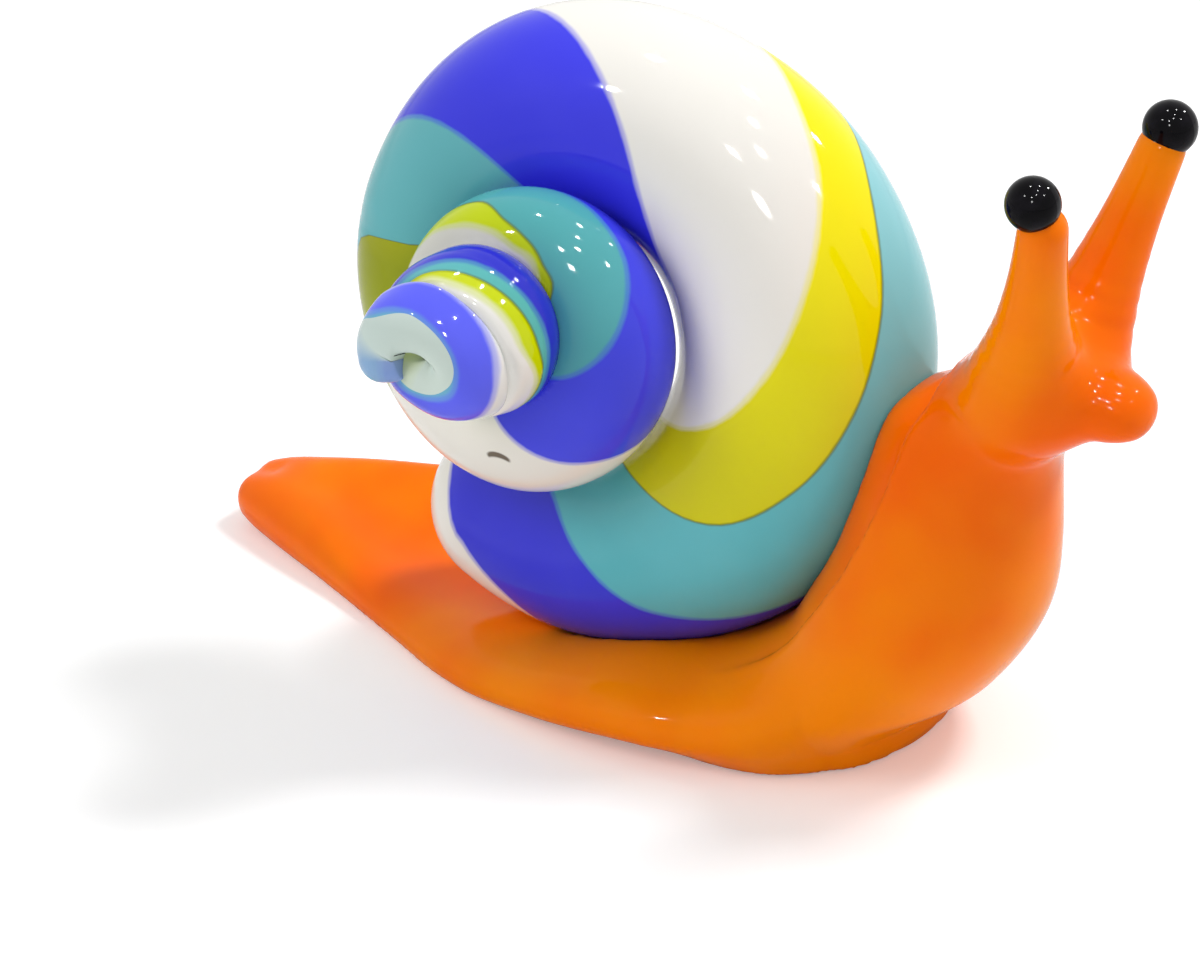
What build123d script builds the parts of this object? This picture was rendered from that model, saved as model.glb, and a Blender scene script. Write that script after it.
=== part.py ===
from build123d import *
from math import cos, exp, pi, radians, sin, sqrt
import os

os.makedirs("parts", exist_ok=True)

# A hand-worked glass snail. +X is forward, +Z is up, and the apex of the shell points to -Y.
# The origin lies on the table, under the middle of the foot.

# Foot: the long sole with the tail at its back end, flat below
foot_length = 47.0
foot_width = 22.4
foot_thickness = 5.0
foot_front_x = 22.8
foot_side_lift = 1.1
sole_grind = 1.1

foot_round_share = 0.45
foot_place_shares = (0.0, 0.02, 0.08, 0.2, 0.36, 0.54, 0.72, 0.86, 0.93, 0.97, 0.99, 1.0)
foot_width_shares = (0.09, 0.16, 0.26, 0.45, 0.71, 0.95, 1.0, 0.9, 0.73, 0.54, 0.39, 0.26)
foot_thickness_shares = (0.24, 0.5, 0.76, 0.9, 0.96, 1.0, 1.0, 1.0, 0.95, 0.8, 0.6, 0.4)
foot_lift_shares = (0.4, 0.26, 0.12, 0.03, 0.0, 0.0, 0.0, 0.0, 0.02, 0.1, 0.2, 0.3)
foot_tilt_shares = (0.1, 0.3, 0.7, 1.0, 1.0, 0.85, 0.5, 0.2, 0.0, 0.0, 0.0, 0.0)

# Hollow: the shallow trough along the top of the foot, between its two rims
hollow_width = 15.0
hollow_depth = 1.6
hollow_roundness = 2.2
hollow_place_shares = (0.05, 0.1, 0.2, 0.33, 0.48, 0.64, 0.78)
hollow_width_shares = (0.1, 0.22, 0.42, 0.68, 0.9, 1.0, 0.9)
hollow_depth_shares = (0.1, 0.45, 0.85, 1.0, 1.0, 0.8, 0.4)
hollow_crest_shares = (0.52, 0.6, 0.68, 0.73, 0.76, 0.78, 0.78)

# Neck: the upright front of the body, leaning forward over the foot
neck_depth = 13.0
neck_width = 16.4
neck_setback = 7.4
neck_base_z = 1.2
neck_reach = 9.0
neck_height = 20.4

neck_rise_shares = (0.0, 0.14, 0.34, 0.54, 0.74, 0.89, 1.0)
neck_reach_shares = (0.0, 0.31, 0.57, 0.71, 0.78, 0.88, 1.12)
neck_depth_shares = (0.98, 1.0, 0.97, 0.89, 0.8, 0.7, 0.42)
neck_width_shares = (1.0, 1.0, 0.92, 0.81, 0.69, 0.59, 0.36)

# Head: the gather that laps over the top of the neck and runs out into the snout
head_width = 9.4
head_height = 7.8
head_setback = 1.9
head_length = 11.8
head_rise = 1.6
snout_drop = 0.7
head_place_shares = (0.0, 0.06, 0.2, 0.38, 0.54, 0.66, 0.75, 0.85, 0.94, 0.985, 1.0)
head_size_shares = (0.12, 0.38, 0.64, 0.86, 0.8, 0.61, 0.51, 0.45, 0.34, 0.2, 0.08)
head_drop_shares = (3.3, 3.0, 1.9, 0.7, 0.6, 1.0, 1.1, 1.2, 1.3, 1.35, 1.35)

# Tentacles, each ending in a cup that holds an eye bead
tentacle_root_radius = 2.5
tentacle_tip_radius = 1.3
tentacle_root_reach = 3.2
tentacle_root_y = 1.7
tentacle_root_rise = -0.6
tentacle_height = 11.4
right_tentacle_reach = 3.1
left_tentacle_reach = 2.6
right_tentacle_spread = 3.7
left_tentacle_spread = 4.3
tentacle_place_shares = (0.0, 0.2, 0.45, 0.75, 1.0)
tentacle_taper_shares = (1.0, 0.76, 0.42, 0.12, 0.0)
eye_radius = 1.4
eye_lift = 0.8
right_eye_setback = 0.7
left_eye_setback = 0.0

# Shell: one tapering cane of four twisted colours, wound from its thick end up to its tip
shell_x = 1.8
shell_y = 1.0
shell_z = 20.8
shell_tilt = 12.5
shell_yaw = 5.5
cane_start_angle = -112.0
cane_turns = 4.1
first_coil_radius = 13.95
tip_coil_radius = 2.65
shell_height = 27.0
cane_radius = 6.38
cane_tip_radius = 0.63
inward_swell = 1.48
end_slimming_share = 0.32
end_slimming_rate = 5.0
tightening_rate = 1.16
tightening_power = 1.6
thinning_rate = 0.643
thinning_power = 1.1
swell_fading_rate = 1.77
swell_fading_power = 1.64
rise_rate = 0.39
seat_clearance = 0.1
seat_turns = 1.3
seat_stations_per_turn = 16
stations_per_turn = 32

# The cane is twisted over its thick turns and runs straight towards its tip
first_twist = 0.05
full_twist = 2.75
twisted_turns = 2.0
# Each colour's place around the cane, as shares of a turn
colour_shares = {
    "white": (0.0, 0.31),
    "blue": (0.31, 0.57),
    "turquoise": (0.57, 0.77),
    "yellow": (0.77, 1.0),
}

tilt = radians(shell_tilt)
yaw = radians(shell_yaw)
shell_axis = Vector(sin(yaw) * cos(tilt), -cos(yaw) * cos(tilt), sin(tilt))
shell_forward = Vector(cos(yaw), sin(yaw), 0)
shell_up = shell_axis.cross(shell_forward)
shell_centre = Vector(shell_x, shell_y, shell_z)

neck_base_x = foot_front_x - neck_setback
neck_top_x = neck_base_x + neck_reach
head_back_x = neck_top_x - head_setback
head_z = neck_base_z + neck_height + head_rise


def outward(turn):
    """Direction from the shell's axis out to the cane, after this many turns."""
    angle = radians(cane_start_angle) + 2 * pi * turn
    return shell_forward * cos(angle) + shell_up * sin(angle)


def swell_at(turn):
    """How far the cane's inner side comes in, to lie close along the next turn."""
    return inward_swell * exp(-swell_fading_rate * turn**swell_fading_power)


def coil_radius(turn):
    shrink = exp(-tightening_rate * turn**tightening_power)
    return tip_coil_radius + (first_coil_radius - tip_coil_radius) * shrink - swell_at(turn)


def cane_radius_at(turn):
    slim_end = 1 - end_slimming_share * exp(-end_slimming_rate * turn)
    thinning = exp(-thinning_rate * turn**thinning_power)
    return cane_tip_radius + (cane_radius - cane_tip_radius) * thinning * slim_end + swell_at(turn)


def cane_centre(turn):
    rise = shell_height * (1 - exp(-rise_rate * turn))
    return shell_centre + shell_axis * rise + outward(turn) * coil_radius(turn)


def twist_at(turn):
    """Twist of the cane, in turns about its own line, after this many turns of the coil."""
    return first_twist + full_twist * sin(pi / 2 * min(turn / twisted_turns, 1))


def cane_stations(last_turn, per_turn, clearance=0.0):
    """Section planes and radii along the cane, with a rounded end at its start and its finish."""
    dome_shares = (0.99, 0.9, 0.7, 0.4)
    stations = []
    start_radius = cane_radius_at(0) + clearance
    backward = outward(0).cross(shell_axis)
    for share in dome_shares:
        origin = cane_centre(0) + backward * (start_radius * share)
        plane = Plane(origin=origin, x_dir=outward(0), z_dir=backward)
        stations.append((0, plane, start_radius * sqrt(1 - share**2)))
    count = round(last_turn * per_turn)
    for index in range(count + 1):
        turn = last_turn * index / count
        direction = outward(turn)
        plane = Plane(origin=cane_centre(turn), x_dir=direction, z_dir=direction.cross(shell_axis))
        stations.append((turn, plane, cane_radius_at(turn) + clearance))
    end_radius = cane_radius_at(last_turn) + clearance
    backward = outward(last_turn).cross(shell_axis)
    for share in reversed(dome_shares):
        origin = cane_centre(last_turn) - backward * (end_radius * share)
        plane = Plane(origin=origin, x_dir=outward(last_turn), z_dir=backward)
        stations.append((last_turn, plane, end_radius * sqrt(1 - share**2)))
    return stations


# The least gap between the cane's turns, measured on points along its line
step_turns = 0.02
turns_apart = 0.6
count = round(cane_turns / step_turns)
trail = [index * step_turns for index in range(count + 1)]
spots = [(turn, cane_centre(turn), cane_radius_at(turn)) for turn in trail]
least_gap = min(
    (one_centre - other_centre).length - one_radius - other_radius
    for one_turn, one_centre, one_radius in spots
    for other_turn, other_centre, other_radius in spots
    if other_turn - one_turn > turns_apart
)
print("least gap between the cane's turns", round(least_gap, 3))

# Shell cane: each is a wedge of the round cane, twisted along it
for colour, (first_share, last_share) in colour_shares.items():
    with BuildPart() as strand:
        for turn, plane, radius in cane_stations(cane_turns, stations_per_turn):
            start = 360 * (first_share - twist_at(turn))
            size = 360 * (last_share - first_share)
            with BuildSketch(plane):
                with BuildLine():
                    edge = CenterArc((0, 0), radius, start, size)
                    Line((0, 0), edge @ 0)
                    Line((0, 0), edge @ 1)
                make_face()
        loft()
    strand.part.label = "shell_" + colour
    export_step(strand.part, f"parts/shell_{colour}.step")
    print(strand.part.label, round(strand.part.volume, 1), strand.part.is_valid)

# The hollow that the shell's first turns press into the body
with BuildPart() as seat_tool:
    for turn, plane, radius in cane_stations(seat_turns, seat_stations_per_turn, seat_clearance):
        with BuildSketch(plane):
            Circle(radius)
    loft()

# Hollow: oval sections along the top of the foot
hollow_stations = zip(hollow_place_shares, hollow_width_shares, hollow_depth_shares, hollow_crest_shares)
with BuildPart() as hollow_tool:
    for place, width, depth, crest in hollow_stations:
        x = foot_front_x - foot_length * (1 - place)
        middle = foot_thickness * crest + hollow_roundness - hollow_depth * depth
        with BuildSketch(Plane(origin=(x, 0, middle), x_dir=(0, 1, 0), z_dir=(1, 0, 0))):
            Ellipse(hollow_width * width / 2, hollow_roundness)
    loft()

# Foot: rounded sections from the tail to the front, the left side higher, ground flat below
foot_stations = zip(
    foot_place_shares, foot_width_shares, foot_thickness_shares, foot_lift_shares, foot_tilt_shares
)
with BuildPart() as foot:
    for place, width, thickness, lift, lean in foot_stations:
        x = foot_front_x - foot_length * (1 - place)
        height = foot_thickness * thickness
        middle = foot_thickness * lift + height / 2 - sole_grind
        across = Vector(0, foot_width * width / 2, foot_side_lift * lean)
        section = Plane(origin=(x, 0, middle), x_dir=across, z_dir=(1, 0, 0))
        with BuildSketch(section):
            RectangleRounded(foot_width * width, height, height * foot_round_share)
    loft()
    split(bisect_by=Plane.XY, keep=Keep.TOP)
    add(hollow_tool.part, mode=Mode.SUBTRACT)
    add(seat_tool.part, mode=Mode.SUBTRACT)
foot.part.label = "foot"
export_step(foot.part, "parts/foot.step")

# Head: upright round sections from the nape to the end of the snout
with BuildPart() as head:
    for place, size, drop in zip(head_place_shares, head_size_shares, head_drop_shares):
        x = head_back_x + head_length * place
        section = Plane(origin=(x, 0, head_z - snout_drop * drop), x_dir=(0, 1, 0), z_dir=(1, 0, 0))
        with BuildSketch(section):
            Ellipse(head_width * size / 2, head_height * size / 2)
    loft()

# Neck: level oval sections from the foot up into the head
neck_stations = zip(neck_rise_shares, neck_reach_shares, neck_depth_shares, neck_width_shares)
with BuildPart() as neck:
    for rise, reach, depth, width in neck_stations:
        origin = (neck_base_x + neck_reach * reach, 0, neck_base_z + neck_height * rise)
        with BuildSketch(Plane(origin=origin)):
            Ellipse(neck_depth * depth / 2, neck_width * width / 2)
    loft()
    add(foot.part, mode=Mode.SUBTRACT)
    add(seat_tool.part, mode=Mode.SUBTRACT)
    add(head.part, mode=Mode.SUBTRACT)
neck.part.label = "neck"
export_step(neck.part, "parts/neck.step")
head.part.label = "head"
export_step(head.part, "parts/head.step")

# Tentacles: tapering rods with a flared root, each cupped for its eye bead
tentacle_pair = (
    ("right", -1, right_tentacle_reach, right_tentacle_spread, right_eye_setback),
    ("left", 1, left_tentacle_reach, left_tentacle_spread, left_eye_setback),
)
for name, side, reach, spread, setback in tentacle_pair:
    root = Vector(neck_top_x + tentacle_root_reach, side * tentacle_root_y, head_z + tentacle_root_rise)
    rod = Vector(reach, side * spread, tentacle_height)
    eye_centre = root + rod + rod.normalized() * eye_lift - Vector(setback, 0, 0)
    with BuildPart() as eye:
        with Locations(eye_centre):
            Sphere(eye_radius)
    with BuildPart() as tentacle:
        for place, taper in zip(tentacle_place_shares, tentacle_taper_shares):
            radius = tentacle_tip_radius + (tentacle_root_radius - tentacle_tip_radius) * taper
            with BuildSketch(Plane(origin=root + rod * place, z_dir=rod)):
                Circle(radius)
        loft()
        add(head.part, mode=Mode.SUBTRACT)
        add(neck.part, mode=Mode.SUBTRACT)
        add(eye.part, mode=Mode.SUBTRACT)
    eye.part.label = name + "_eye"
    export_step(eye.part, f"parts/{name}_eye.step")
    tentacle.part.label = name + "_tentacle"
    export_step(tentacle.part, f"parts/{name}_tentacle.step")
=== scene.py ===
from math import cos, pi, radians, sin

import bpy
import numpy as np
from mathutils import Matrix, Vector


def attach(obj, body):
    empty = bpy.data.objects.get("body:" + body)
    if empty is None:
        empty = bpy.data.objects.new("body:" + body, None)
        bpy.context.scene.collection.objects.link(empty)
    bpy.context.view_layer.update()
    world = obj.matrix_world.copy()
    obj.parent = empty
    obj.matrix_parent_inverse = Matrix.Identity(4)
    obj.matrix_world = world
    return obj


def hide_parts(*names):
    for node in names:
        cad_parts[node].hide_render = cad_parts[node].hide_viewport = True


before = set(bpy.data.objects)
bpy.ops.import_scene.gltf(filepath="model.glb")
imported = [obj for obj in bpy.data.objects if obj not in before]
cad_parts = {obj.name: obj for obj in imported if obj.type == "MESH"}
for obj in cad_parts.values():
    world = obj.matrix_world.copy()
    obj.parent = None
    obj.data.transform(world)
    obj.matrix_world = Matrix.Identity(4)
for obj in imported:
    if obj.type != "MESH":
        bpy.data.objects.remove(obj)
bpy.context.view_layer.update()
mm = 0.001


# Shared helpers

def curve(at, points):
    """Smooth curve through (place, value) points, with no overshoot between them."""
    place, value = np.array(points, float).T
    gap = np.diff(place)
    slope = np.diff(value) / gap
    tangent = np.zeros_like(value)
    tangent[0], tangent[-1] = slope[0], slope[-1]
    same = slope[:-1] * slope[1:] > 0
    both = np.where(same, slope[:-1] + slope[1:], 1)
    tangent[1:-1] = np.where(same, 2 * slope[:-1] * slope[1:] / both, 0)
    at = np.clip(at, place[0], place[-1])
    i = np.clip(np.searchsorted(place, at, "right") - 1, 0, len(gap) - 1)
    s = (at - place[i]) / gap[i]
    start = (2 * s**3 - 3 * s**2 + 1) * value[i] + (s**3 - 2 * s**2 + s) * gap[i] * tangent[i]
    end = (3 * s**2 - 2 * s**3) * value[i + 1] + (s**3 - s**2) * gap[i] * tangent[i + 1]
    return start + end


def unit(vectors):
    return vectors / np.maximum(np.linalg.norm(vectors, axis=-1, keepdims=True), 1e-12)


def smooth_min(a, b, blend):
    h = np.clip(0.5 + 0.5 * (b - a) / blend, 0, 1)
    return b * (1 - h) + a * h - blend * h * (1 - h)


def smooth_max(a, b, blend):
    return -smooth_min(-a, -b, blend)


def add_mesh(name, points, faces, normals=None):
    """A smooth-shaded mesh object from points in millimetres; normals are per face corner."""
    mesh = bpy.data.meshes.new(name)
    mesh.from_pydata((np.asarray(points) * mm).tolist(), [], faces)
    mesh.validate()
    mesh.polygons.foreach_set("use_smooth", [True] * len(mesh.polygons))
    if normals is not None:
        mesh.normals_split_custom_set(normals)
    mesh.update()
    obj = bpy.data.objects.new(name, mesh)
    bpy.context.scene.collection.objects.link(obj)
    return obj


def add_values(obj, name, values):
    layer = obj.data.attributes.new(name, "FLOAT", "POINT")
    layer.data.foreach_set("value", np.asarray(values, np.float32))


def colour(red, green, blue):
    """Linear colour from the eight-bit values a screen shows."""
    return tuple((c / 12.92 if c <= 0.04045 else ((c + 0.055) / 1.055) ** 2.4)
                 for c in (red / 255, green / 255, blue / 255)) + (1.0,)


# Shell: one glass cane of four twisted colours, coiled from its thick end up to a hooked tip

shell_centre = np.array([1.8, 1.0, 20.8])
shell_tilt, shell_yaw = radians(12.5), radians(5.5)
start_angle = radians(-112)
cane_turns = 3.84
axis = np.array([sin(shell_yaw) * cos(shell_tilt), -cos(shell_yaw) * cos(shell_tilt), sin(shell_tilt)])
forward = np.array([cos(shell_yaw), sin(shell_yaw), 0])
upward = np.cross(axis, forward)

# The coil's radius, the cane's radius and its place along the shell's axis, at some turns from the thick end
coil_points = ((0, 14.5), (0.06, 13.8), (0.12, 13.0), (0.2, 12.4), (0.3, 11.7), (0.4, 10.6), (0.5, 9.6),
               (0.6, 8.95), (0.75, 7.5), (0.9, 5.8), (1.05, 4.95), (1.2, 4.3), (1.4, 3.65), (1.6, 3.0), (1.8, 2.4),
               (2, 1.95), (2.25, 1.75), (2.5, 1.6), (2.75, 1.45), (3, 1.3), (3.4, 1.25), (3.84, 1.2))
thickness_points = ((0, 4.7), (0.06, 5.45), (0.12, 6.0), (0.2, 6.5), (0.3, 6.7), (0.4, 6.35), (0.5, 6.1),
                    (0.6, 6.0), (0.75, 5.3), (0.9, 5.05), (1.05, 4.95), (1.2, 4.35), (1.4, 3.6), (1.6, 3.35),
                    (1.8, 3.1), (2, 2.85), (2.25, 2.75), (2.5, 2.65), (2.75, 2.5), (3, 2.35), (3.15, 2.25),
                    (3.3, 2.1), (3.5, 1.95), (3.65, 1.7), (3.84, 1.2))
rise_points = ((0, 0.2), (0.06, 0.5), (0.12, 0.85), (0.2, 1.6), (0.3, 2.7), (0.4, 3.6), (0.5, 4.5), (0.6, 5.4),
               (0.75, 6.6), (0.9, 7.8), (1.05, 8.9), (1.2, 9.95), (1.4, 11.3), (1.6, 12.5), (1.8, 13.6),
               (2, 14.6), (2.25, 15.7), (2.5, 16.7), (2.75, 17.4), (3, 18.1), (3.3, 19.1), (3.5, 19.8),
               (3.65, 20.2), (3.84, 20.5))
# How far the last turns are pulled off the shell's axis, forwards and upwards, where the tip was drawn out
forward_points = ((2.2, 0), (2.5, -0.3), (2.75, 0), (3, 0.25), (3.15, 0.2), (3.3, -0.5), (3.5, -1.35),
                  (3.65, -1.35), (3.84, -1.25))
upward_points = ((2.2, 0), (2.5, 0.05), (2.75, -0.5), (3, -0.8), (3.3, -0.8), (3.5, -1.15), (3.65, -1.5),
                 (3.84, -1.35))
# How softly a turn fuses into the next one, at some turns
fusing_points = ((0, 0.25), (1.3, 0.2), (1.9, 0.3), (2.1, 2.2), (2.45, 3.2), (2.85, 2.8), (3.1, 1.4), (3.84, 1.0))
# The cane fuses with its own glass from the first of these many turns away, in full from the second, up to the third
fuse_from, fuse_full, fuse_to = 0.3, 0.7, 1.6
# How much farther off that glass counts where it fuses least, how far each round moves, and how many rounds there are
fuse_ease, fuse_step, fuse_rounds = 6, 0.65, 8
axis_gap = 0.1
# The fused skin is evened out along the cane from the first turn, in full from the second, and fades before the third
even_from, even_full, even_to, even_fade, even_rounds = 2.4, 2.7, 3.75, 0.05, 30
# Rings of the cane, rings of each rounded end, and the turns of coil that an end counts for
cane_rings, end_rings, end_turns = 420, 13, 0.04
trail_count = 260


def cane(turn):
    """Centre, radius and outward direction of the cane after these turns."""
    turn = np.asarray(turn, float)
    angle = start_angle + 2 * pi * turn
    out = np.cos(angle)[..., None] * forward + np.sin(angle)[..., None] * upward
    coil, rise = curve(turn, coil_points), curve(turn, rise_points)
    centre = shell_centre + rise[..., None] * axis + coil[..., None] * out
    centre = centre + curve(turn, forward_points)[..., None] * forward
    centre = centre + curve(turn, upward_points)[..., None] * upward
    return centre, curve(turn, thickness_points), out


def cane_stations():
    """Centre, radius, outward and turn at each ring of the cane, with its two rounded ends."""
    bend = np.linspace(pi / 2 - 0.02, 0, end_rings + 1)[:-1]
    steps = np.linspace(0, 1, cane_rings)
    # Rings are fewer turns apart at the thick end, where a turn is longer
    turn = cane_turns * (0.45 * steps**1.6 + 0.55 * steps)
    centre, radius, out = cane(turn)
    back = np.cross(out[0], axis)
    start = centre[0] + back * radius[0] * np.sin(bend)[:, None]
    front = np.cross(axis, out[-1])
    finish = centre[-1] + front * radius[-1] * np.sin(bend[::-1])[:, None]
    centre = np.concatenate([start, centre, finish])
    radius = np.concatenate([radius[0] * np.cos(bend), radius, radius[-1] * np.cos(bend[::-1])])
    out = np.concatenate([np.tile(out[0], (end_rings, 1)), out, np.tile(out[-1], (end_rings, 1))])
    turn = np.concatenate([-end_turns * np.sin(bend), turn, cane_turns + end_turns * np.sin(bend[::-1])])
    return centre, radius, out, turn


# Twist of the cane in turns about its own line, after some turns of the coil
twist_points = ((0, 0.14), (0.25, 0.61), (0.5, 1.08), (0.75, 1.54), (1, 1.95), (1.25, 2.35), (1.5, 2.6),
                (1.7, 2.65), (2, 2.62), (2.3, 2.556), (2.5, 2.475), (2.65, 2.44), (3.25, 2.406), (3.5, 2.425),
                (3.65, 2.47), (3.75, 2.58), (3.84, 2.64))
# Where each colour starts around the cane, as a share of a turn, at some turns of the coil
border_points = {
    "white": ((-0.04, 0.825), (0, 0.9), (0.21, 0.878), (0.24, 0.885), (0.3, 0.925), (0.35, 0.96), (0.4, 0.985),
              (0.46, 1.015), (0.6, 1.0), (0.72, 0.96), (0.85, 0.95), (1, 0.9), (1.3, 0.82), (1.47, 0.8), (1.52, 0.81),
              (1.57, 0.8), (1.63, 0.785), (1.7, 0.75), (1.8, 0.72), (2.23, 0.62), (2.32, 0.675), (2.5, 0.66),
              (2.64, 0.63), (2.85, 0.7), (3, 0.95), (3.84, 0.95)),
    "blue": ((-0.04, 1.52), (0, 1.33), (0.03, 1.325), (0.05, 1.28), (0.08, 1.15), (0.12, 1.05), (0.2, 1.0),
             (0.3, 1.08), (0.42, 1.262), (0.48, 1.3), (0.55, 1.31), (1.1, 1.32), (1.16, 1.305), (1.22, 1.25),
             (1.5, 1.3), (2, 1.35), (2.65, 1.4), (2.85, 1.54), (2.98, 1.5), (3.12, 1.41), (3.5, 1.43),
             (3.65, 1.45), (3.84, 1.5)),
    "turquoise": ((-0.04, 1.6), (0, 1.575), (0.05, 1.573), (0.08, 1.548), (0.12, 1.51), (0.2, 1.51),
                  (0.6, 1.589), (0.71, 1.568), (1.25, 1.565), (1.4, 1.575), (1.47, 1.59), (2.3, 1.57), (2.9, 1.585),
                  (3.08, 1.59), (3.3, 1.57), (3.84, 1.57)),
    "yellow": ((-0.04, 1.665), (0, 1.74), (0.14, 1.733), (0.19, 1.714), (0.24, 1.745), (0.29, 1.793),
               (0.33, 1.835), (0.41, 1.9), (0.6, 1.9), (0.72, 1.86), (0.765, 1.825), (0.79, 1.74), (1.3, 1.77),
               (1.41, 1.76), (1.46, 1.778), (1.5, 1.776), (1.55, 1.765), (1.61, 1.715), (2.23, 1.59), (2.32, 1.617),
               (2.5, 1.62), (2.64, 1.608), (3, 1.606), (3.15, 1.61), (3.3, 1.574), (3.5, 1.574),
               (3.65, 1.6), (3.78, 1.6), (3.84, 1.68), (3.88, 1.9)),
}
centre, radius, out, turn = cane_stations()
twist = curve(turn, twist_points)
# Spheres along the cane, which stand for its neighbouring turns
trail_turns = np.linspace(0, cane_turns, trail_count)
trail, trail_radius, _ = cane(trail_turns)


def cane_skin(angle):
    """Points of the fused cane at each ring, at these angles from outward towards the axis."""
    away = np.cos(angle)[..., None] * out[:, None] + np.sin(angle)[..., None] * axis
    inward = np.maximum(-np.cos(angle), 0.01)
    most = (curve(turn, coil_points)[:, None] - axis_gap) / inward
    reach = np.minimum(np.repeat(radius[:, None], angle.shape[1], 1), most)
    apart = np.abs(trail_turns[None] - turn[:, None])
    others = (apart > fuse_from) & (apart < fuse_to)
    fade = fuse_ease * np.clip((fuse_full - apart) / (fuse_full - fuse_from), 0, 1)**2
    for _ in range(fuse_rounds):
        points = centre[:, None] + reach[..., None] * away
        gap = np.full(angle.shape, 1e9)
        other = np.zeros(angle.shape)
        for i, (spot, size) in enumerate(zip(trail, trail_radius)):
            use = others[:, i]
            far = np.linalg.norm(points[use] - spot, axis=-1) - size + fade[use, i, None]
            closer = far < gap[use]
            gap[use] = np.where(closer, far, gap[use])
            other[use] = np.where(closer, trail_turns[i], other[use])
        soft = curve(np.minimum(other, turn[:, None]), fusing_points)
        own = reach - radius[:, None]
        meet = np.maximum(soft - np.abs(own - gap), 0) / soft
        fused = radius[:, None] + soft / 4 * meet**2
        reach = np.minimum((1 - fuse_step) * reach + fuse_step * fused, most)
    along = turn[1:-1, None]
    even = np.clip((along - even_from) / (even_full - even_from), 0, 1) * np.clip((even_to - along) / even_fade, 0, 1)
    for _ in range(even_rounds):
        reach[1:-1] += even * (reach[:-2] + reach[2:] - 2 * reach[1:-1]) / 4
    return centre[:, None] + reach[..., None] * away


def strand(name, first, last, columns):
    """One colour's closed wedge of the cane, between two borders around it."""
    first_angle = 2 * pi * (curve(turn, border_points[first]) - twist)
    wrap = 1 if last == "white" else 0
    last_angle = 2 * pi * (curve(turn, border_points[last]) + wrap - twist)
    shares = np.linspace(0, 1, columns)
    angles = first_angle[:, None] + shares * (last_angle - first_angle)[:, None]
    skin = cane_skin(angles)
    normal = unit(np.cross(np.gradient(skin, axis=1), np.gradient(skin, axis=0)))
    inward = centre[:, None] - skin
    normal = np.where((normal * inward).sum(-1, keepdims=True) > 0, -normal, normal)
    rings, width = len(turn), columns + 1
    points = np.concatenate([skin, centre[:, None]], 1).reshape(-1, 3)
    faces, corners = [], []
    for ring in range(rings - 1):
        here, there = ring * width, (ring + 1) * width
        for i in range(width):
            j = (i + 1) % width
            faces.append((here + i, there + i, there + j, here + j))
            if j < columns and i < columns:
                corners += [normal[ring, i], normal[ring + 1, i], normal[ring + 1, j], normal[ring, j]]
            else:
                a, b, c = points[here + i], points[there + i], points[here + j]
                corners += [unit(np.cross(b - a, c - a))] * 4
    for ring, side in ((0, -1), (rings - 1, 1)):
        here = ring * width
        loop = list(range(here, here + width))
        faces.append(tuple(loop[::-1] if side < 0 else loop))
        corners += [unit(centre[ring] - centre[ring - side])] * width
    piece = add_mesh(name, points, faces, [tuple(c) for c in corners])
    arc = (radius * (last_angle - first_angle))[:, None]
    from_first = np.concatenate([arc * shares, arc * 0 + 1], 1)
    to_last = np.concatenate([arc * (1 - shares), arc * 0 + 1], 1)
    add_values(piece, "turn", np.repeat(turn, width))
    add_values(piece, "from_first", from_first.ravel())
    add_values(piece, "to_last", to_last.ravel())
    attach(piece, "root")
    return piece


# The last number is each strand's columns of points around the cane
strands = {
    "white": strand("white_strand", "white", "blue", 52),
    "blue": strand("blue_strand", "blue", "turquoise", 44),
    "turquoise": strand("turquoise_strand", "turquoise", "yellow", 36),
    "yellow": strand("yellow_strand", "yellow", "white", 36),
}
for hue, piece in strands.items():
    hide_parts("shell_" + hue)


# Body: foot, neck, head and tentacles, drawn from one gather of orange glass

foot_front, foot_length, foot_half_width = 18.8, 43.0, 11.2
# Height of the foot's widest line, as a share of its height, and how square it is above and under that line
foot_waist, foot_top_sharpness, foot_under_sharpness = 0.47, 2.6, 2.1
# The foot leans sideways about this height, at most by the last slant
foot_lean, foot_lean_height, foot_most_slant = 1.1, 1.4, 0.3
hollow_half_width, hollow_depth, hollow_radius, hollow_sink = 7.5, 1.6, 2.2, 0.1
neck_base, neck_top, neck_end = 1.2, 21.6, -1.5
neck_x, neck_reach = 14.6, 9.8
neck_half_depth, neck_half_width = 6.5, 8.2
head_back, head_front, head_height = 22.5, 33.8, 23.2
head_half_width, head_half_height, head_drop = 4.7, 3.9, 0.7
tentacle_x, tentacle_y, tentacle_height = 27.6, 1.7, 22.6
tentacle_rise, tentacle_tip_radius, tentacle_flare = 11.4, 1.25, 1.75
# Each tentacle's side, its reach forwards, its spread sideways and the share of its length that is drawn
tentacles = ((-1, 3.1, 3.7, 0.94), (1, 2.6, 4.3, 0.97))
# The lip round the shell: its height, where its band ends, as distances from the shell, and where it fades in
lip_height, lip_inner, lip_outer = 0.6, 2.5, 2.9
lip_x, lip_x_fade, lip_z, lip_z_fade = 8.5, 4, 4.5, 2.5
# How softly each piece ends or runs into the next one
foot_end_blend, hollow_blend, neck_end_blend, head_end_blend = 0.8, 1.4, 1.5, 0.5
neck_blend, head_blend, tentacle_blend, shell_blend, floor_blend = 3.6, 3.0, 1.5, 0.3, 0.25
# Under this size a piece is taken as no thinner, so that nothing is divided by zero
least_size = 0.3
net_low, net_high, net_step, net_rounds = (-25.6, -12.0, -0.6), (35.6, 12.0, 36.6), 0.3, 3


def oval(across, along, sharpness):
    """Superellipse measure: under one inside, over one outside."""
    return (np.abs(across) ** sharpness + np.abs(along) ** sharpness) ** (1 / sharpness)


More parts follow.
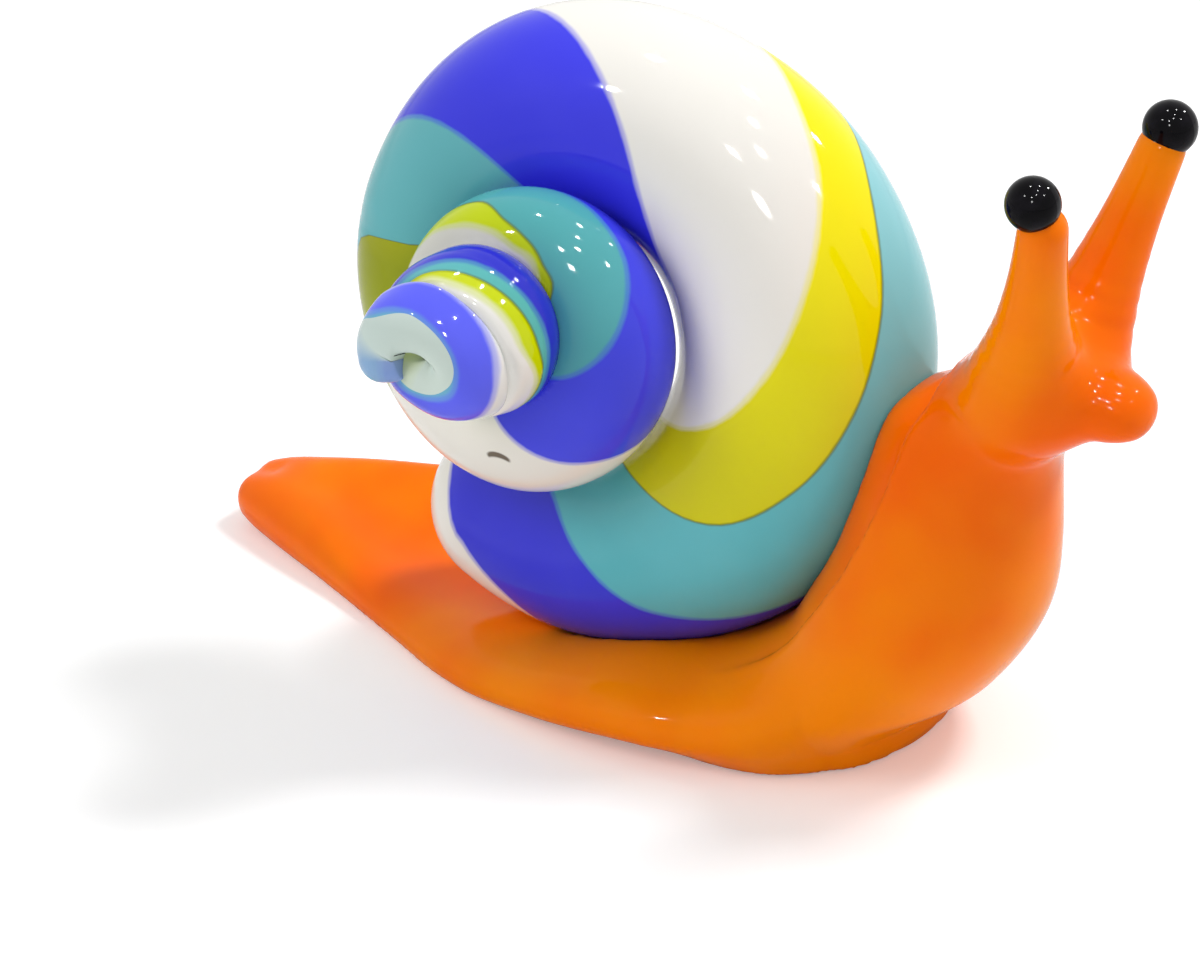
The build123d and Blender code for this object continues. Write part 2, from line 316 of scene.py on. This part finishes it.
def foot_field(p):
    x, y, z = p.T
    place = (x - foot_front + foot_length) / foot_length
    half = foot_half_width * curve(place, (
        (-0.02, 0.02), (0, 0.1), (0.02, 0.17), (0.083, 0.27), (0.207, 0.44), (0.372, 0.69), (0.475, 0.85),
        (0.558, 0.94), (0.72, 1.01), (0.805, 0.99), (0.888, 0.88), (0.95, 0.7), (0.985, 0.46), (1, 0.3)))
    top = curve(place, ((0, 2.4), (0.02, 3.1), (0.08, 3.7), (0.2, 4.1), (0.36, 4.1), (0.54, 4.0),
                        (0.66, 4.4), (0.78, 4.9), (0.86, 4.7), (0.93, 4.2), (0.97, 3.7), (1, 2.8)))
    low = curve(place, ((0, 0.8), (0.02, 0.2), (0.08, -0.2), (0.2, -0.25), (0.8, -0.2), (0.93, 0), (1, 0.6)))
    lean = foot_lean * curve(place, ((0, 0.3), (0.02, 0.6), (0.08, 1.1), (0.2, 1.5), (0.36, 1.6),
                                     (0.54, 1.05), (0.72, 0.5), (0.86, 0.2), (0.93, 0), (1, 0)))
    half = np.maximum(half, least_size)
    slant = np.minimum(lean / half, foot_most_slant)
    side = (y + (z - foot_lean_height) * slant) / half
    rise = z - y * slant
    middle = low + foot_waist * (top - low)
    above = rise > middle
    tall = np.maximum(np.where(above, top - middle, middle - low), least_size)
    level = (rise - middle) / tall
    around = np.where(above, oval(side, level, foot_top_sharpness), oval(side, level, foot_under_sharpness))
    field = (around - 1) * np.minimum(half, (top - low) / 2)
    ends = np.maximum(x - foot_front, foot_front - foot_length - x)
    field = smooth_max(field, ends, foot_end_blend)
    wide = hollow_half_width * curve(place, ((0.05, 0.05), (0.1, 0.2), (0.2, 0.42), (0.33, 0.68),
                                             (0.48, 0.9), (0.64, 1), (0.78, 0.9), (0.9, 0.5)))
    depth = hollow_depth * curve(place, ((0.02, -1.6), (0.08, -1), (0.14, 0), (0.22, 0.6), (0.33, 1), (0.48, 1),
                                         (0.6, 0.8), (0.7, 0.2), (0.8, -0.4), (0.9, -1)))
    crest = top - hollow_sink
    hollow = oval(y / wide, (rise - crest - hollow_radius + depth) / hollow_radius, 2)
    hollow = (hollow - 1) * np.minimum(wide, hollow_radius)
    return smooth_max(field, -hollow, hollow_blend)


def neck_field(p):
    x, y, z = p.T
    rise = (z - neck_base) / (neck_top - neck_base)
    middle = neck_x + neck_reach * curve(rise, ((0, 0), (0.14, 0.33), (0.34, 0.6), (0.54, 0.735), (0.74, 0.8),
                                                (0.89, 0.86), (1, 1.0)))
    deep = neck_half_depth * curve(rise, ((0, 0.86), (0.14, 0.98), (0.34, 0.97), (0.54, 0.89), (0.74, 0.82),
                                          (0.89, 0.76), (1, 0.62)))
    wide = neck_half_width * curve(rise, ((0, 0.83), (0.14, 0.96), (0.34, 0.92), (0.54, 0.81), (0.74, 0.69),
                                          (0.89, 0.59), (1, 0.4)))
    around = oval((x - middle) / deep, y / wide, 2)
    field = (around - 1) * np.minimum(deep, wide)
    ends = np.maximum(neck_end - z, z - neck_top)
    return smooth_max(field, ends, neck_end_blend)


def head_field(p):
    x, y, z = p.T
    place = (x - head_back) / (head_front - head_back)
    size = curve(place, ((0, 0.12), (0.06, 0.38), (0.2, 0.64), (0.38, 0.86), (0.54, 0.8), (0.66, 0.61),
                         (0.75, 0.51), (0.85, 0.45), (0.94, 0.34), (0.985, 0.2), (1, 0.08)))
    drop = head_drop * curve(place, ((0, 3.3), (0.06, 3.0), (0.2, 1.9), (0.38, 0.7), (0.54, 0.6), (0.66, 1.0),
                                     (0.75, 1.1), (0.85, 1.2), (0.94, 1.3), (1, 1.35)))
    around = oval(y / (head_half_width * size), (z - head_height + drop) / (head_half_height * size), 2)
    field = (around - 1) * head_half_height * size
    ends = np.maximum(x - head_front, head_back - x)
    return smooth_max(field, ends, head_end_blend)


def rod_field(p, points):
    """Round rod through (x, y, z, radius) points."""
    best = np.full(len(p), 1e9)
    points = np.array(points, float)
    for a, b in zip(points[:-1], points[1:]):
        span = b[:3] - a[:3]
        s = np.clip(((p - a[:3]) @ span) / (span @ span), 0, 1)
        gap = np.linalg.norm(p - a[:3] - s[:, None] * span, axis=1) - (a[3] + s * (b[3] - a[3]))
        best = np.minimum(best, gap)
    return best


def tentacle_points(side, reach, spread, length):
    root = np.array([tentacle_x, side * tentacle_y, tentacle_height])
    rod = np.array([reach, side * spread, tentacle_rise]) * length
    places = np.linspace(0, 1, 12)
    flare = curve(places, ((0, 1), (0.2, 0.72), (0.45, 0.35), (0.75, 0.1), (1, 0)))
    radii = tentacle_tip_radius + tentacle_flare * flare
    return [tuple(root + rod * s) + (r,) for s, r in zip(places, radii)]


# The part of the cane that lies against the body
shell_line, shell_radius, _ = cane(np.linspace(0, 1.3, 70))


def shell_field(p):
    best = np.full(len(p), 1e9)
    for point, size in zip(shell_line, shell_radius):
        best = np.minimum(best, np.linalg.norm(p - point, axis=1) - size)
    return best


def body_field(p):
    x, _, z = p.T
    field = smooth_min(foot_field(p), neck_field(p), neck_blend)
    field = smooth_min(field, head_field(p), head_blend)
    for tentacle in tentacles:
        field = smooth_min(field, rod_field(p, tentacle_points(*tentacle)), tentacle_blend)
    beside = shell_field(p)
    lipped = np.clip((x - lip_x) / lip_x_fade, 0, 1) * np.clip((z - lip_z) / lip_z_fade, 0, 1)
    field = field + lip_height * lipped * (1 - curve(beside, ((lip_inner, 0), (lip_outer, 1))))
    field = smooth_max(field, -beside, shell_blend)
    return smooth_max(field, -z, floor_blend)


def surface_net(field, low, high, step):
    """Points and quads of the surface where the field is zero, on a grid of this step."""
    lines = [np.arange(a, b + step, step) for a, b in zip(low, high)]
    grid = np.stack(np.meshgrid(*lines, indexing="ij"), -1)
    shape = grid.shape[:3]
    flat = grid.reshape(-1, 3)
    batches = np.array_split(flat, 24)
    values = np.concatenate([field(batch) for batch in batches]).reshape(shape)
    cells = tuple(n - 1 for n in shape)
    total, count = np.zeros(cells + (3,)), np.zeros(cells)
    crossings = []
    for along in range(3):
        ahead = [slice(None)] * 3
        ahead[along] = slice(1, None)
        behind = [slice(None)] * 3
        behind[along] = slice(None, -1)
        a, b = values[tuple(behind)], values[tuple(ahead)]
        crossed = (a < 0) != (b < 0)
        share = np.where(crossed, a / np.where(crossed, a - b, 1), 0)
        spot = grid[tuple(behind)].copy()
        spot[..., along] += share * step
        others = [i for i in range(3) if i != along]
        for shift_one in (0, 1):
            for shift_two in (0, 1):
                cut = [slice(None)] * 3
                cut[others[0]] = slice(shift_one, shift_one + cells[others[0]])
                cut[others[1]] = slice(shift_two, shift_two + cells[others[1]])
                mask = crossed[tuple(cut)]
                total += spot[tuple(cut)] * mask[..., None]
                count += mask
        crossings.append((along, others, crossed, a < 0))
    used = count > 0
    number = np.full(cells, -1)
    number[used] = np.arange(used.sum())
    points = total[used] / count[used][:, None]
    quads = []
    for along, (one, two), crossed, inside in crossings:
        place = np.argwhere(crossed)
        place = place[(place[:, one] > 0) & (place[:, two] > 0)]
        place = place[(place[:, one] < cells[one]) & (place[:, two] < cells[two])]
        starts_inside = inside[tuple(place.T)]
        corners = []
        for back_one, back_two in ((1, 1), (0, 1), (0, 0), (1, 0)):
            cell = place.copy()
            cell[:, one] -= back_one
            cell[:, two] -= back_two
            corners.append(number[tuple(cell.T)])
        quad = np.stack(corners, 1)
        flip = starts_inside == (along == 1)
        quad[flip] = quad[flip][:, ::-1]
        quads.append(quad)
    return points, np.concatenate(quads)


def settle(points, quads, field, rounds):
    """Evens out the net, and moves its points onto the surface."""
    ends = np.concatenate([quads[:, [i, (i + 1) % 4]] for i in range(4)])
    probe, least_slope, most_move = 0.02, 0.05, 0.3
    for _ in range(rounds):
        total, count = np.zeros_like(points), np.zeros(len(points))
        for a, b in ((0, 1), (1, 0)):
            np.add.at(total, ends[:, a], points[ends[:, b]])
            np.add.at(count, ends[:, a], 1)
        points = points * 0.5 + total / count[:, None] * 0.5
        for _ in range(2):
            slope = np.stack([field(points + probe * d) - field(points - probe * d) for d in np.eye(3)], 1)
            slope /= 2 * probe
            move = field(points) / np.maximum((slope**2).sum(1), least_slope)
            points = points - np.clip(move, -most_move, most_move)[:, None] * slope
    return points


net, quads = surface_net(body_field, net_low, net_high, net_step)
net = settle(net, quads, body_field, net_rounds)
body = add_mesh("body", net, quads.tolist())
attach(body, "root")
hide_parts("foot", "neck", "head", "right_tentacle", "left_tentacle")


# Materials

def new_material(name):
    made = bpy.data.materials.new(name)
    made.use_nodes = True
    tree = made.node_tree
    return made, tree, tree.nodes["Principled BSDF"]


def node(tree, kind, settings=(), **inputs):
    """A node with its settings, and inputs that are values or other nodes' outputs."""
    made = tree.nodes.new(kind)
    for key, value in dict(settings).items():
        setattr(made, key, value)
    for key, value in inputs.items():
        socket = made.inputs[int(key[1:])] if key[0] == "i" and key[1:].isdigit() else made.inputs[key]
        if hasattr(value, "links"):
            tree.links.new(value, socket)
        else:
            socket.default_value = value
    return made


def mix(tree, share, one, other):
    made = tree.nodes.new("ShaderNodeMix")
    made.data_type = "RGBA"
    for socket, value in ((made.inputs[0], share), (made.inputs[6], one), (made.inputs[7], other)):
        if hasattr(value, "links"):
            tree.links.new(value, socket)
        else:
            socket.default_value = value
    return made.outputs[2]


def ramp(tree, value, low, high, start=0.0, end=1.0):
    """The value eased from the span low to high onto the span start to end."""
    kind = {"interpolation_type": "SMOOTHSTEP"}
    made = node(tree, "ShaderNodeMapRange", kind, i0=value, i1=low, i2=high, i3=start, i4=end)
    return made.outputs[0]


def object_place(tree):
    return node(tree, "ShaderNodeTexCoord").outputs["Object"]


def noise(tree, scale, detail=3.0):
    made = node(tree, "ShaderNodeTexNoise", i0=object_place(tree), Scale=scale, Detail=detail)
    return made.outputs["Fac"]


def maths(tree, kind, one, other):
    return node(tree, "ShaderNodeMath", {"operation": kind}, i0=one, i1=other).outputs[0]


def value_of(tree, name):
    return node(tree, "ShaderNodeAttribute", {"attribute_name": name}).outputs["Fac"]


# Shades of each colour along the cane: turn, then red, green and blue. They are the glass's own colours with
# painted light and shade: on the first turn the white and yellow are lighter where its top and right are lit,
# the yellow is darker on its lower side and olive in painted shade on its left, and the turquoise is lighter
# as a painted reflection on its right rim; the white is grey in painted shade on the second turn, and the blue
# is lighter towards the thin tip as painted light through the glass
shades_with_painted_light = {
    "white": ((0, 238, 234, 226), (0.5, 246, 243, 236), (1.2, 236, 232, 222), (1.65, 206, 206, 196),
              (2.1, 238, 236, 230), (3.3, 236, 238, 236), (3.76, 216, 226, 226), (3.85, 132, 160, 216)),
    "blue": ((0, 60, 60, 214), (0.55, 66, 66, 236), (0.8, 56, 58, 220), (1.2, 72, 76, 234), (2.3, 44, 48, 196),
             (2.7, 50, 54, 206), (3.1, 98, 104, 250)),
    "turquoise": ((0, 92, 182, 192), (0.25, 104, 192, 200), (0.42, 150, 214, 222), (0.65, 104, 184, 190),
                  (1.3, 88, 172, 178), (2.4, 92, 184, 178), (3.1, 112, 180, 210)),
    "yellow": ((0, 206, 200, 8), (0.22, 218, 210, 6), (0.4, 252, 240, 0), (0.6, 240, 230, 0),
               (0.8, 150, 158, 20), (1.4, 196, 212, 10), (2.4, 206, 220, 6), (2.75, 208, 218, 60),
               (3, 208, 222, 212), (3.72, 204, 220, 214), (3.84, 140, 176, 214)),
}
# The soft border between two colours, and the dark line between turquoise and yellow with the turns where it fades
border_width, line_start, line_end = 0.4, 0.03, 0.22
line_fade, line_shade = (2.4, 2.8), colour(96, 112, 20)
# The brown speck on the white glass: its place and half sizes in metres, and its shade
mark_place, mark_size = (0.00371, -0.01348, 0.01656), (0.0007, 0.0015, 0.00036)
mark_shade = colour(84, 66, 44)
# The larger oval under the speck that is left white: how much lower it lies, and its size against the speck
mark_cut_drop, mark_cut_size = 0.00038, 1.25
# Noise scales of the mottle in the strands and of the waver in their borders
mottle_scale, waver_scale = 110.0, 900.0
# The ramp along the cane holds four turns
ramp_turns = 4


def shade_with_painted_light_along(tree, hue):
    """The colour's shade after each turn of the coil, its painted light and shade included."""
    along = maths(tree, "MULTIPLY", value_of(tree, "turn"), 1 / ramp_turns)
    ramps = node(tree, "ShaderNodeValToRGB", i0=along)
    stops = ramps.color_ramp.elements
    for i, (place, *shade) in enumerate(shades_with_painted_light[hue]):
        stop = stops[i] if i < 2 else stops.new(place / ramp_turns)
        stop.position, stop.color = place / ramp_turns, colour(*shade)
    return ramps.outputs[0]


def mark_oval(tree, drop, size):
    """Distance from the middle of the speck, or of a lower or larger oval like it, with 1 on the edge."""
    x, y, z = mark_place
    spread = node(tree, "ShaderNodeMapping", {"vector_type": "TEXTURE"}, i0=object_place(tree), i1=(x, y, z - drop),
                  i3=tuple(size * half for half in mark_size)).outputs[0]
    return node(tree, "ShaderNodeVectorMath", {"operation": "LENGTH"}, i0=spread).outputs["Value"]


order = ("white", "blue", "turquoise", "yellow")
for i, hue in enumerate(order):
    before, after = order[i - 1], order[(i + 1) % 4]
    made, tree, shader = new_material(hue + "_glass")
    # The shade along the cane holds painted light and shade as well as the glass's colour, and so does own
    own = shade_with_painted_light_along(tree, hue)
    mottle = ramp(tree, noise(tree, mottle_scale), 0.3, 0.75, 0.0, 0.22)
    tint = mix(tree, mottle, own, node(tree, "ShaderNodeGamma", i0=own, i1=1.5).outputs[0])
    waver = maths(tree, "ADD", noise(tree, waver_scale, 2.0), 0.9)
    for name, other in (("from_first", before), ("to_last", after)):
        reach = maths(tree, "MULTIPLY", value_of(tree, name), waver)
        if {hue, other} == {"turquoise", "yellow"}:
            line = ramp(tree, reach, line_start, line_end, 0.65, 0.0)
            fade = ramp(tree, value_of(tree, "turn"), *line_fade, 1.0, 0.0)
            tint = mix(tree, maths(tree, "MULTIPLY", line, fade), tint, line_shade)
        else:
            tint = mix(tree, ramp(tree, reach, 0.0, border_width, 0.5, 0.0), tint, shade_with_painted_light_along(tree, other))
    if hue == "white":
        inside = ramp(tree, mark_oval(tree, 0, 1), 0.8, 1.1, 0.9, 0.0)
        uncut = ramp(tree, mark_oval(tree, mark_cut_drop, mark_cut_size), 0.7, 1.0)
        tint = mix(tree, maths(tree, "MULTIPLY", inside, uncut), tint, mark_shade)
    tree.links.new(tint, shader.inputs["Base Color"])
    shader.inputs["Roughness"].default_value = 0.06
    shader.inputs["IOR"].default_value = 1.5
    shader.inputs["Specular IOR Level"].default_value = 0.2
    strands[hue].data.materials.append(made)

orange, tree, shader = new_material("orange_glass")
mottle = ramp(tree, noise(tree, 70.0), 0.3, 0.7)
tint = mix(tree, mottle, colour(249, 100, 0), colour(255, 138, 0))
tree.links.new(tint, shader.inputs["Base Color"])
shader.inputs["Roughness"].default_value = 0.1
shader.inputs["IOR"].default_value = 1.5
shader.inputs["Specular IOR Level"].default_value = 0.08
shader.inputs["Subsurface Weight"].default_value = 0.15
shader.inputs["Subsurface Radius"].default_value = (1.0, 0.4, 0.08)
shader.inputs["Subsurface Scale"].default_value = 0.003
body.data.materials.append(orange)

black, tree, shader = new_material("black_glass")
speck = ramp(tree, noise(tree, 1200.0), 0.4, 0.7)
tree.links.new(mix(tree, speck, colour(6, 5, 8), colour(16, 14, 20)), shader.inputs["Base Color"])
shader.inputs["Roughness"].default_value = 0.06
shader.inputs["Specular IOR Level"].default_value = 0.08
for name in ("right_eye", "left_eye"):
    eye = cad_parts[name]
    eye.data.materials.clear()
    eye.data.materials.append(black)


# Stage: pale floor, white surroundings, a soft lamp behind and above, and the camera

floor_reach = 900
# How much the floor glows to the camera, and how strongly the surroundings light what they aren't seen through
floor_glow, surround_light = 0.25, 0.52
floor_corners = [(x * floor_reach, y * floor_reach, 0) for x, y in ((-1, -1), (1, -1), (1, 1), (-1, 1))]
floor = add_mesh("floor", floor_corners, [(0, 1, 2, 3)])
made, tree, shader = new_material("floor_paint")
shader.inputs["Base Color"].default_value = (0.85, 0.85, 0.85, 1)
shader.inputs["Roughness"].default_value = 0.6
seen = node(tree, "ShaderNodeLightPath")
lift = maths(tree, "MULTIPLY", seen.outputs["Is Camera Ray"], floor_glow)
glow = node(tree, "ShaderNodeEmission", Strength=lift)
both = node(tree, "ShaderNodeAddShader", i0=shader.outputs[0], i1=glow.outputs[0])
tree.links.new(both.outputs[0], tree.nodes["Material Output"].inputs[0])
floor.data.materials.append(made)

world = bpy.data.worlds.new("surroundings")
bpy.context.scene.world = world
world.use_nodes = True
tree = world.node_tree
seen = node(tree, "ShaderNodeLightPath")
bright = maths(tree, "MAXIMUM", seen.outputs["Is Camera Ray"], seen.outputs["Is Glossy Ray"])
bright = maths(tree, "MAXIMUM", bright, seen.outputs["Is Transmission Ray"])
tree.links.new(ramp(tree, bright, 0.0, 1.0, surround_light, 1.0), tree.nodes["Background"].inputs["Strength"])
tree.nodes["Background"].inputs["Color"].default_value = (1, 1, 1, 1)


def lamp(name, place, aim, width, power):
    light = bpy.data.lights.new(name, "AREA")
    light.size = width * mm
    light.energy = power
    obj = bpy.data.objects.new(name, light)
    obj.location = Vector(place) * mm
    obj.rotation_euler = (Vector(aim) * mm - obj.location).to_track_quat("-Z", "Y").to_euler()
    bpy.context.scene.collection.objects.link(obj)
    return obj


for name, place, width, power in (("key", (217, 247, 526), 140, 2.2), ("fill", (-260, -420, 380), 300, 1.0)):
    lamp(name, place, (0, 0, 10), width, power).visible_glossy = False
# Small ceiling spots, which only show as points of light on the glass; the second one is larger
spot_distance, spot_aim = 300, 15
spot_width, large_spot_width, spot_power = 14, 24, 0.2
# Degrees round and above, seen from the point that they aim at
spots = ((-57, 50), (-56, 34), (-100, 50), (-28, 57), (0, 68), (8, 44), (55, 43), (58, 66), (172, 84))
for i, (around, above) in enumerate(spots):
    a, b = radians(around), radians(above)
    way = Vector((cos(a) * cos(b), sin(a) * cos(b), sin(b)))
    aim = Vector((0, 0, spot_aim))
    width = large_spot_width if i == 1 else spot_width
    lamp("spot_%d" % i, aim + way * spot_distance, aim, width, spot_power).visible_diffuse = False

camera_target, camera_distance = Vector((0, 0, 9.1)), 350
azimuth, elevation = radians(37), radians(26)
camera = bpy.data.objects.new("camera", bpy.data.cameras.new("camera"))
bpy.context.scene.collection.objects.link(camera)
back = Vector((sin(azimuth) * cos(elevation), -cos(azimuth) * cos(elevation), sin(elevation)))
camera.location = (camera_target + back * camera_distance) * mm
camera.rotation_euler = back.to_track_quat("Z", "Y").to_euler()
camera.data.sensor_width = 36
camera.data.sensor_fit = "HORIZONTAL"
camera.data.lens = 199.5
camera.data.clip_start = 0.01
camera.data.clip_end = 10
bpy.context.scene.camera = camera

bpy.context.scene.view_settings.view_transform = "Standard"
